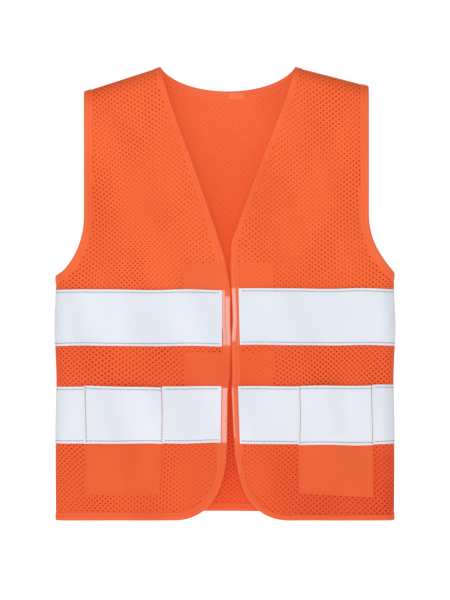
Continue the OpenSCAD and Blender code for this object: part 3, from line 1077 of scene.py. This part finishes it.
def binding_section():
    """The folded tape: over the edge, along both faces, with a groove at its stitch line."""
    outer = [
        (BINDING_W, 0.12),
        (BINDING_W - 0.25, BINDING_LIFT - 0.06),
        (BINDING_W - 0.9, BINDING_LIFT - 0.02),
        (GROOVE + 1.0, BINDING_LIFT + 0.02),
        (GROOVE + 0.45, BINDING_LIFT),
        (GROOVE, BINDING_LIFT - 0.06),
        (GROOVE - 0.45, BINDING_LIFT + 0.06),
        (3.3, BINDING_LIFT + 0.11),
        (2.6, BINDING_LIFT + 0.12),
        (1.8, BINDING_LIFT + 0.1),
        (0.8, BINDING_LIFT),
        (0.2, BINDING_LIFT - 0.3),
        (0.0, -CLOTH / 2),
    ]
    outer += [(w, -CLOTH - lift) for w, lift in reversed(outer[:-1])]
    inner = [(BINDING_W - 0.1, -CLOTH - 0.06), (0.75, -CLOTH - 0.06), (0.55, -CLOTH / 2)]
    inner += [(0.75, 0.06), (BINDING_W - 0.1, 0.06)]
    return outer + inner


SECTION = binding_section()
# Points of the section in the stitch groove, which the binding's material paints darker as painted
# shade.
SECTION_GROOVE = [float(abs(w - GROOVE) < 0.1 and (lift > 0 or lift < -CLOTH)) for w, lift in SECTION]


def run_along(path):
    """Distance along a path of each of its points, for the ribs across the binding."""
    return np.r_[0, np.cumsum(np.linalg.norm(np.diff(path, axis=0), axis=1))]


def sweep(name, path, inward, face, run, pale, cap=True):
    """The binding's section carried along a pattern path, with values for its material."""
    section = np.asarray(SECTION, float)
    count, around = len(path), len(section)
    flat = path[:, None, :] + inward[:, None, :] * section[None, :, 0, None]
    lift = np.broadcast_to(section[None, :, 1], (count, around))
    faces_at = np.asarray(face, float)
    if faces_at.ndim:
        faces_at = faces_at[:, None]
    points = surface(flat[..., 0], flat[..., 1], lift, faces_at)
    groove = np.tile(SECTION_GROOVE, count)
    layers = {"groove": groove, "pale": pale.ravel(), "run": np.repeat(run, around)}
    return tube(name, points, BINDING, layers, cap)


def bind(name, path, turn, face, pale=None, side=None):
    """A binding along a pattern path. pale gives how much of the tape below it shows through."""
    inward = inward_of(path, turn)
    if side is not None:
        inward = inward * binding_share(side, path[:, 1])[:, None]
    if abs(inward[0] @ inward[1]) < 0.9 * (inward[1] @ inward[1]):
        inward[0] = inward[1]
    values = np.zeros((len(path), len(SECTION)))
    for k, (w, lift) in enumerate(SECTION):
        if pale is not None and lift > 0.3:
            values[:, k] = [pale(w, t) for t in path[:, 1]]
    return sweep(name, path, inward, face, run_along(path), values)


def in_bands(t, from_bottom=0.0):
    return any(top - BAND_W + from_bottom <= t <= top for top in BAND_TOPS.values())


def pale_right(w, t):
    """The tape shows through on both sides of the stitch line, below the upper patch."""
    if abs(w - GROOVE) < 0.2:
        return 0.25 if in_bands(t) else 0.0
    below_patch = t < BAND_TOPS["upper"] - 7.5 or w > GROOVE
    return 1.0 if in_bands(t) and below_patch else 0.0


def pale_left(w, t):
    """The tape shows through the half of the binding next to the edge."""
    reach = 3.5 if t > BAND_TOPS["lower"] else 1.5
    if w < reach:
        return 1.0 if in_bands(t, 4.0) else 0.0
    return 0.12 if in_bands(t) else 0.0


def there_and_back(line):
    return np.concatenate([line, line[-2:0:-1]])


for side, pale in ((RIGHT, pale_right), (LEFT, pale_left)):
    of, arm = side.name, side.armhole
    made = bind(f"{of}_front_binding_tape", side.front_edge, side.sign, FRONT, pale, side)
    settle(made, side, f"{of}_front_binding", f"{of}_side_hem_binding")
    loop = there_and_back(arm)
    faces_at = np.r_[np.full(len(arm), FRONT), np.full(len(arm) - 2, BACK)]
    inward = there_and_back(inward_of(arm, -side.sign))
    run = there_and_back(run_along(arm))
    no_pale = np.zeros(len(loop) * len(SECTION))
    made = sweep(f"{of}_armhole_binding_tape", loop, inward, faces_at, run, no_pale, False)
    settle(made, "back", f"{of}_armhole_binding")

for part, path, turn in (("neck", BACK_NECK, -1), ("hem", BACK_HEM, 1)):
    settle(bind(f"back_{part}_binding_tape", path, turn, BACK), "back", f"back_{part}_binding")

# ---------------------------------------------------------------- pockets

POCKET_PUFF = 2.6
POCKET_LIFT = 0.25
POCKET_PLY = 0.4
POCKET_COLUMNS = 46
POCKET_ROWS = 44
for side in SIDES:
    flap, still = box_mm(f"{side.name}_pocket"), box_mm(f"{side.name}_pocket_side")
    us = [abs(v) for b in (flap, still) for v in (b[0][0], b[1][0])]
    side.pocket = (min(us), max(us), min(flap[0][2], still[0][2]))


def pocket_lift(side, u, t):
    """How far the pocket cloth stands off the front: most at its mouth."""
    inner, outer, bottom = side.pocket
    top = BAND_TOPS["lower"]
    end = side.fold_u(top) - 4
    across = np.clip((u - inner - 3) / (end - inner - 3), 0, 1)
    up = np.clip((t - bottom - 2) / (top - bottom - 2), 0, 1)
    shape = np.sin(math.pi * across) ** 1.4
    return POCKET_LIFT + POCKET_PUFF * shape * (0.35 * smooth(up, 0, 0.35) + 0.65 * up**2)


def pocket_bottom(side, u):
    """The pockets hang a little out of square."""
    inner, outer, bottom = side.pocket
    across = (u - inner) / (outer - inner)
    return bottom + (1.7 - 3.6 * across if side is LEFT else 0 * across)


for side in SIDES:
    inner, outer, bottom = side.pocket
    top = BAND_TOPS["lower"] - 0.9
    u = np.linspace(inner, outer, POCKET_COLUMNS)
    tops = np.full(POCKET_COLUMNS, top)
    s, t = strip_grid(side.sign * u, pocket_bottom(side, u), tops, POCKET_ROWS)
    if side is RIGHT:
        lean = 2.5 * smooth(-t, -top + BAND_W, -bottom) * (outer - np.abs(s)) / (outer - inner)
        s = s + side.sign * lean
    lift = pocket_lift(side, np.abs(s), t) + POCKET_PLY
    made = layer(f"{side.name}_pocket_cloth", s, t, lift, POCKET_PLY, FRONT, PLAIN)
    settle(made, side, f"{side.name}_pocket", f"{side.name}_pocket_side")

# ---------------------------------------------------------------- reflective tape

TAPE_LIFT = 1.2
TAPE_PLY = 0.35
TAPE_STEP = 1.5
TAPE_ROWS = 40
END_REACH = 25
EDGE_WAVES = Waves(83, 70, 4000, 5)
EDGE_SWAY = 0.25
PUCKER = Waves(89, 9, 300, 6)
LIMIT = SEAM_S - 0.05
ON_POCKET = 0.42
UNDER_BINDING = 0.6
UNDER_POCKET = 0.7
# How far a tape's top edge is raised at its two ends, and then its bottom edge.
LEVEL = (0.0, 0.0, 0.0, 0.0)
SHIFTS = {
    "right_upper": (-0.5, -0.2, -0.4, 0.0),
    "right_lower": (0.6, 0.6, 0.3, 0.3),
    "right_pocket": (-0.5, 1.0, -0.3, -0.2),
    "right_side": (0.2, 0.2, 0.0, 0.0),
    "left_upper": (0.9, 0.4, 0.8, 0.2),
    "left_lower": (0.8, 0.6, -0.3, -0.6),
    "left_pocket": (0.9, 1.3, -1.5, -1.3),
    "left_side": (2.0, 1.8, -0.8, -0.6),
}
# How far a tape's first end is moved sideways, at the top and at the bottom.
UPRIGHT = (0.0, 0.0)
TAPE_ENDS = {
    "right_upper": (-0.5, -0.5),
    "right_lower": (-1.3, -1.8),
    "left_upper": (0.2, 1.4),
    "left_lower": (-0.2, 1.4),
}


def band_lift(s, t, top):
    """The tape's own shape: held down at its stitch lines, with small puckers beside them."""
    from_edge = np.minimum(top - t, t - (top - BAND_W))
    held = np.exp(-(((from_edge - STITCH_MARGIN) / 0.9) ** 2))
    near = np.exp(-(((from_edge - STITCH_MARGIN) / 5.0) ** 2))
    at_side = 1 - 0.62 * smooth(np.abs(s), FLAT_HALF - 4, FLAT_HALF + 10)
    return at_side * (TAPE_LIFT + 0.07 * PUCKER(s, t) * near) - 0.22 * held * at_side


def band_edges(s_from, s_to, which, face, shift, step, least):
    """Places along a tape and its bottom and top edges there, wavy from its stitching."""
    count = max(least, int(abs(s_to - s_from) / step))
    s = np.linspace(s_from, s_to, count)
    top = BAND_TOPS[which]
    key = 1000.0 * ((1 if which == "upper" else 2) + (3 if face > 0 else 0))
    high = top + EDGE_SWAY * EDGE_WAVES(s, key) + np.linspace(shift[0], shift[1], count)
    low = top - BAND_W + EDGE_SWAY * EDGE_WAVES(s, key + 400.0)
    return s, low + np.linspace(shift[2], shift[3], count), high


def on_pocket(side):
    """The extra lift of what is sewn on the pocket."""
    return lambda u, t: pocket_lift(side, u, t) - POCKET_LIFT + ON_POCKET


def band(name, s_from, s_to, which, face, extra=None, shift=LEVEL, end=UPRIGHT):
    """A length of tape."""
    top = BAND_TOPS[which]
    s_values, low, high = band_edges(s_from, s_to, which, face, shift, TAPE_STEP, 8)
    s, t = strip_grid(s_values, low, high, TAPE_ROWS)
    lean = end[0] + (end[1] - end[0]) * np.clip((top - t) / BAND_W, 0, 1)
    s = s + lean * (1 - smooth(np.abs(s - s_from), 0, END_REACH))
    lift = band_lift(s, t, top)
    if extra is not None:
        lift = lift + extra(np.abs(s), t)
    return layer(name, s, t, lift, TAPE_PLY, face, TAPE, face)


for which in ("upper", "lower"):
    settle(band(f"back_{which}_tape", -LIMIT, LIMIT, which, BACK), "back", f"back_{which}_band")
for side in SIDES:
    of, flap = side.name, side.flap
    inner, outer, _ = side.pocket
    side.tape_start = side.edge + BINDING_W - UNDER_BINDING
    lower_end, side_start = inner + UNDER_POCKET, outer - UNDER_POCKET
    puffed = on_pocket(side)
    for part, name, start, end, extra, place, nodes in (
        ("upper", "upper_tape", side.tape_start, LIMIT, None, side, ("upper_band", "upper_side_band")),
        ("lower", "lower_tape", side.tape_start, lower_end, None, flap, ("lower_band",)),
        ("pocket", "pocket_tape", inner, outer, puffed, side, ("pocket_band", "pocket_side_band")),
        ("side", "side_lower_tape", side_start, LIMIT, None, "back", ("lower_side_band",)),
    ):
        which = "upper" if part == "upper" else "lower"
        key = f"{of}_{part}"
        shift, lean = SHIFTS[key], TAPE_ENDS.get(key, UPRIGHT)
        start, end = side.sign * start, side.sign * end
        made = band(f"{of}_{name}", start, end, which, FRONT, extra, shift, lean)
        settle(made, place, *[f"{of}_{node}" for node in nodes])

# ---------------------------------------------------------------- closure patches

PATCH_UNDER_TAPE = 0.8
PATCH_PLY = 0.35
PATCH_COLUMNS = 40
PATCH_ROWS = 26


def edge_u_at(side, t):
    """Distance of a front edge from the middle, at heights within the upper part of its run."""
    upto = side.front_edge[: np.argmax(side.front_edge[:, 1] < -330)]
    return np.interp(-t, -upto[:, 1], side.sign * upto[:, 0])


def patch_bottom(side, which):
    """A patch outside the front is only modelled as far as the tape that covers its lower edge."""
    if side is RIGHT:
        return BAND_TOPS[which] - PATCH_UNDER_TAPE
    return box_mm(f"{side.name}_{which}_patch")[0][2]


def patch(side, which):
    """A patch of looped cloth: outside the right front, over its binding, or inside the left."""
    node = f"{side.name}_{which}_patch"
    low, high = box_mm(node)
    outer = max(side.sign * low[0], side.sign * high[0])
    t = np.linspace(patch_bottom(side, which), high[2], PATCH_ROWS)[:, None]
    inner = edge_u_at(side, t) + (0.35 if side is RIGHT else BINDING_W - 0.8)
    u = inner + (outer - inner) * np.linspace(0, 1, PATCH_COLUMNS)[None, :]
    t = np.broadcast_to(t, u.shape)
    if side is RIGHT:
        from_edge = u - edge_u_at(side, t)
        lift = 0.5 + 0.58 * (1 - smooth(from_edge, BINDING_W - 0.4, BINDING_W + 1.4))
        lift = lift - 0.25 * (1 - smooth(from_edge, 0.2, 1.0))
    else:
        lift = np.full(u.shape, -CLOTH - 0.12)
    made = layer(f"{node}_cloth", side.sign * u, t, lift, PATCH_PLY, FRONT, PATCH)
    settle(made, side.flap, node)


for side in SIDES:
    for which in ("upper", "lower"):
        patch(side, which)

# ---------------------------------------------------------------- neck label

LABEL_COLUMNS = 14
LABEL_ROWS = 9
low, high = box_mm("neck_tab")
across = np.linspace(low[0], high[0], LABEL_COLUMNS)
bottoms, tops = np.full(LABEL_COLUMNS, low[2]), np.full(LABEL_COLUMNS, high[2])
s, t = strip_grid(across, bottoms, tops, LABEL_ROWS)
curl = 0.5 * ((t - high[2]) / (high[2] - low[2])) ** 2
out = surface(s, t, -CLOTH - 1.15 - curl, BACK)
under = surface(s, t, -CLOTH - 0.85 - curl, BACK)
settle(slab("neck_label", out, under, LABEL, facing_flip(out)), "back", "neck_tab")

# ---------------------------------------------------------------- seams

ALLOWANCE = 4.0
SHOULDER_POINTS = 24
SIDE_POINTS = 60
SEAM_WAVES = Waves(97, 12, 12, 3)
PLIES = [(-0.42, 0), (-0.48, 0.5), (-0.5, 0.92), (-0.3, 1.0)]
PLIES += [(0.3, 1.0), (0.5, 0.92), (0.48, 0.5), (0.42, 0)]


def seam_allowance(name, line, down, node):
    """Two plies turned to the inside of a seam, as one folded strip with an overlocked edge."""
    points = np.empty((len(line), len(PLIES), 3))
    for i, p in enumerate(line):
        wave = 0.18 * SEAM_WAVES(np.array(i * 2.0), np.array(0.0))
        for k, (y, depth) in enumerate(PLIES):
            points[i, k] = p + np.array([0, y + wave * depth, 0]) + down * (ALLOWANCE * depth - 0.15)
    settle(tube(name, points, KNIT), "back", node)


for side in SIDES:
    cos, sin = math.cos(side.slope), math.sin(side.slope)
    run = (side.arm - side.neck) / cos
    at = np.linspace(BINDING_W + 2, run - BINDING_W - 2, SHOULDER_POINTS)
    line = np.stack([side.sign * (side.neck + at * cos), 0 * at, -at * sin], axis=1)
    down = np.array([-side.sign * sin, 0, -cos])
    seam_allowance(f"{side.name}_shoulder_seam_plies", line, down, f"{side.name}_shoulder_seam")
    z = np.linspace(BINDING_W + 2 - LENGTH, -side.arm_drop - BINDING_W - 2, SIDE_POINTS)
    wave = relief(np.full(SIDE_POINTS, side.sign * SEAM_S), z, np.full(SIDE_POINTS, BACK))
    line = np.stack([side.sign * (HALF_CHEST + wave), 0 * z, z], axis=1)
    down = np.array([-side.sign, 0, 0])
    seam_allowance(f"{side.name}_side_seam_plies", line, down, f"{side.name}_side_seam")

# ---------------------------------------------------------------- stitching

POCKET_MARGIN = 1.2


def band_lines(s_from, s_to, which, face, extra=None, shift=LEVEL):
    """The two stitch lines of a tape."""
    top = BAND_TOPS[which]
    s_values, low, high = band_edges(s_from, s_to, which, face, shift, 2, 4)

    def lift(q):
        held = float(band_lift(np.array(q[0]), np.array(q[1]), top))
        if extra is not None:
            held += float(extra(np.array(abs(q[0])), np.array(q[1])))
        return held + 0.06

    edges = (high - STITCH_MARGIN, low + STITCH_MARGIN)
    return [(np.stack([s_values, t], axis=1), lift, face) for t in edges]


def pocket_lines(side):
    """The pocket's stitch lines over the tape, and those on its own cloth."""
    inner, outer, _ = side.pocket
    top = BAND_TOPS["lower"]
    raised = SHIFTS[f"{side.name}_pocket"]
    tape_bottom = top - BAND_W + (raised[2] + raised[3]) / 2

    def lift(q):
        base = float(pocket_lift(side, np.array(abs(q[0])), np.array(q[1])))
        over_tape = q[1] > tape_bottom - 0.3
        return base + (TAPE_LIFT - POCKET_LIFT + ON_POCKET - 0.12 if over_tape else POCKET_PLY - 0.1)

    on_tape, on_cloth, corners = [], [], []
    ends = ((inner + POCKET_MARGIN, 2.4 if side is RIGHT else 0.0), (outer - POCKET_MARGIN, 0.0))
    for k, (u, lean) in enumerate(ends):
        foot = (side.sign * (u + lean), float(pocket_bottom(side, u)) + 1.4)
        turn = (side.sign * u, tape_bottom)
        on_cloth.append(([foot, turn], lift, FRONT))
        t = np.linspace(tape_bottom, top + raised[k] + 0.9, 12)
        drift = 0.5 * np.sin((t - turn[1]) / (15 + 4 * k) + 2 * k)
        on_tape.append((np.stack([side.sign * u + drift, t], axis=1), lift, FRONT))
        corners.append(foot)
    on_cloth.append((np.linspace(corners[0], corners[1], 30), lift, FRONT))
    return on_tape, on_cloth


lines = []
for which in ("upper", "lower"):
    lines += band_lines(-LIMIT + 1, LIMIT - 1, which, BACK)
made = stitches("back_tape_stitches", lines, GREY_THREAD, TAPE_STITCH)
settle(made, "back", "back_band_stitching")

BINDING_TOP = BINDING_LIFT - 0.1
for side in SIDES:
    of = side.name
    inner, outer, _ = side.pocket
    start = side.edge + BINDING_W + 1.6
    lines = []
    for part, u_from, u_to, extra in (
        ("upper", start, LIMIT - 1, None),
        ("lower", start, inner - 0.5, None),
        ("pocket", inner, outer, on_pocket(side)),
        ("side", outer + 0.5, LIMIT - 1, None),
    ):
        which = "upper" if part == "upper" else "lower"
        shift = SHIFTS[f"{of}_{part}"]
        lines += band_lines(side.sign * u_from, side.sign * u_to, which, FRONT, extra, shift)
    made = stitches(f"{of}_tape_stitches", lines, GREY_THREAD, TAPE_STITCH)
    settle(made, side, f"{of}_band_stitching", f"{of}_side_stitching")

    on_tape, on_cloth = pocket_lines(side)
    made = stitches(f"{of}_pocket_stitches", on_tape, ORANGE_THREAD, POCKET_STITCH)
    settle(made, side, f"{of}_pocket_stitching")
    name = f"{of}_pocket_edge_stitches"
    made = stitches(name, on_cloth, BINDING_THREAD, POCKET_EDGE_STITCH)
    settle(made, side)

    edge = side.front_edge
    share = binding_share(side, edge[:, 1])[:, None]
    path = edge + inward_of(edge, side.sign) * GROOVE * share
    lines = [(path, BINDING_TOP, FRONT)]
    name = f"{of}_front_binding_stitches"
    settle(stitches(name, lines, BINDING_THREAD, FRONT_STITCH), side)
    path = side.armhole + inward_of(side.armhole, -side.sign) * GROOVE
    lines = [(path, BINDING_TOP, FRONT), (path, BINDING_TOP, BACK)]
    name = f"{of}_armhole_stitches"
    settle(stitches(name, lines, BINDING_THREAD, BINDING_STITCH), "back")

neck_path = BACK_NECK + inward_of(BACK_NECK, -1) * GROOVE
hem_path = BACK_HEM + inward_of(BACK_HEM, 1) * GROOVE
lines = [(neck_path, BINDING_TOP, BACK), (neck_path, -CLOTH - BINDING_LIFT - 0.05, BACK)]
lines.append((hem_path, BINDING_TOP, BACK))
settle(stitches("back_binding_stitches", lines, BINDING_THREAD, BINDING_STITCH), "back")

# ---------------------------------------------------------------- boxes of the closure patches, read and not used


for side in SIDES:
    of = side.name
    inner, outer, bottom = side.pocket
    for which in ("upper", "lower"):
        low, high = box_mm(f"{of}_{which}_patch")

# ---------------------------------------------------------------- floor and light

FLOOR_DROP = 0.03
floor_z = cad_box[0].z - FLOOR_DROP
floor_mesh = bpy.data.meshes.new("floor")
SPAN = 12.0
floor_mesh.from_pydata(
    [(x * SPAN, y * SPAN, floor_z) for x, y in ((-1, -1), (1, -1), (1, 1), (-1, 1))],
    [],
    [(0, 1, 2, 3)],
)
floor = bpy.data.objects.new("floor", floor_mesh)
bpy.context.scene.collection.objects.link(floor)
floor_nodes = Nodes("floor_white")
floor_nodes.set(Base_Color=(0.8, 0.8, 0.8, 1), Roughness=0.9, Specular_IOR_Level=0.0)
floor_nodes.set(Emission_Color=(1, 1, 1, 1), Emission_Strength=0.9)
floor_mesh.materials.append(floor_nodes.material)

bpy.context.scene.view_settings.view_transform = "Standard"
world = bpy.data.worlds.new("studio")
bpy.context.scene.world = world
world.use_nodes = True
AMBIENT = 0.2
sky = world.node_tree.nodes["Background"]
sky.inputs["Color"].default_value = (1, 1, 1, 1)
path = world.node_tree.nodes.new("ShaderNodeLightPath")
strength = world.node_tree.nodes.new("ShaderNodeMapRange")
strength.inputs["To Min"].default_value = AMBIENT
strength.inputs["To Max"].default_value = 1.0
world.node_tree.links.new(path.outputs["Is Camera Ray"], strength.inputs["Value"])
world.node_tree.links.new(strength.outputs["Result"], sky.inputs["Strength"])


def area_light(name, location, target, size, power):
    data = bpy.data.lights.new(name, "AREA")
    data.shape = "SQUARE"
    data.size = size
    data.energy = power
    light = bpy.data.objects.new(name, data)
    bpy.context.scene.collection.objects.link(light)
    light.location = location
    aim = Vector(target) - Vector(location)
    light.rotation_euler = aim.to_track_quat("-Z", "Y").to_euler()


CENTRE = (0, 0, -0.2)
area_light("front", (-0.15, -5.0, 0.05), CENTRE, 1.4, 64.0)
area_light("key", (-1.2, -1.7, 0.9), CENTRE, 1.2, 4.5)
area_light("top", (-0.3, -0.5, 1.6), CENTRE, 1.4, 8.0)
area_light("back", (0.8, 2.2, 0.9), CENTRE, 1.6, 16.0)
